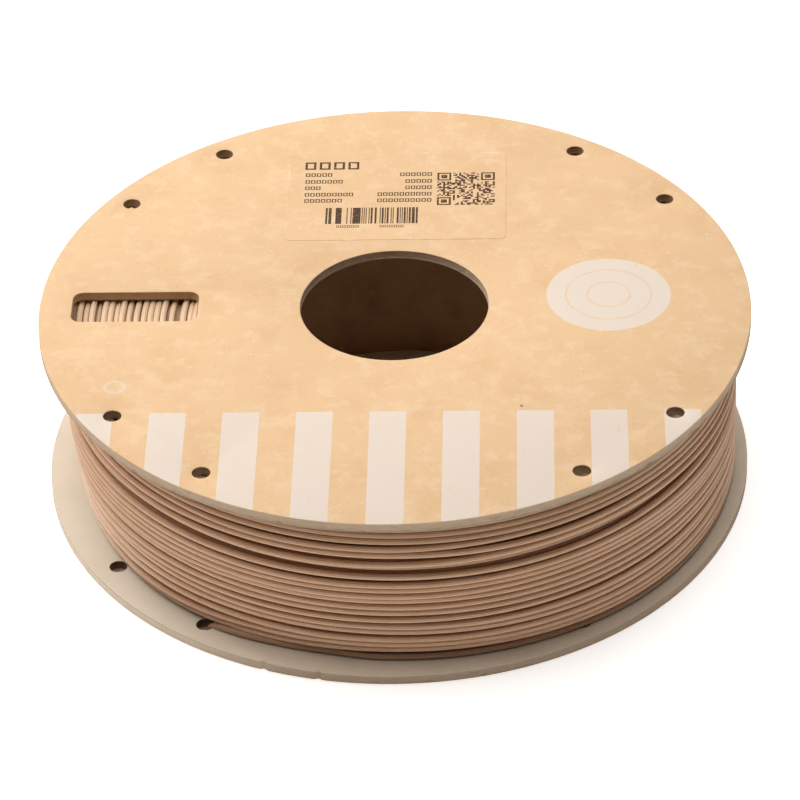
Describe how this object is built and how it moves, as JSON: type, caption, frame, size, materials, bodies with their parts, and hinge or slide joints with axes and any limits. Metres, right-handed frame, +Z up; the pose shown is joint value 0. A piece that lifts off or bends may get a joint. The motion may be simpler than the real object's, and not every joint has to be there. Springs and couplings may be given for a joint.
{
  "type": "filament spool",
  "caption": "Cardboard reel of 3-D printer filament: two round flanges with a centre bore, a winding window and rim holes, on a hollow paper core full of filament.",
  "frame": {"origin": "centre of the bottom flange's underside, on the spool's axis", "axes": "+Z up along the spool's axis, the winding window towards -X, the product label towards +Y, the printed stripes towards -Y"},
  "size_m": [0.2, 0.2, 0.0551],
  "materials": {
    "kraft_paper": "matt kraft paper with mottled fibres",
    "printed_kraft_paper": "matt kraft paper printed with pale ink stripes",
    "pale_paper": "matt pale paper",
    "chipboard": "die-cut fibrous edge",
    "core_board": "matt spiral-wound paper",
    "wood_filament": "wood-filled filament, satin with fine fibres",
    "kraft_label_paper": null
  },
  "bodies": {
    "root": {"bottom_flange_outer_liner": "kraft_paper", "bottom_flange_board": "chipboard", "bottom_flange_inner_liner": "pale_paper", "top_flange_inner_liner": "pale_paper", "top_flange_board": "chipboard", "top_flange_outer_liner": "printed_kraft_paper", "core_tube": "core_board", "filament_winding": "wood_filament", "product_label": "kraft_label_paper"}
  },
  "joints": []
}
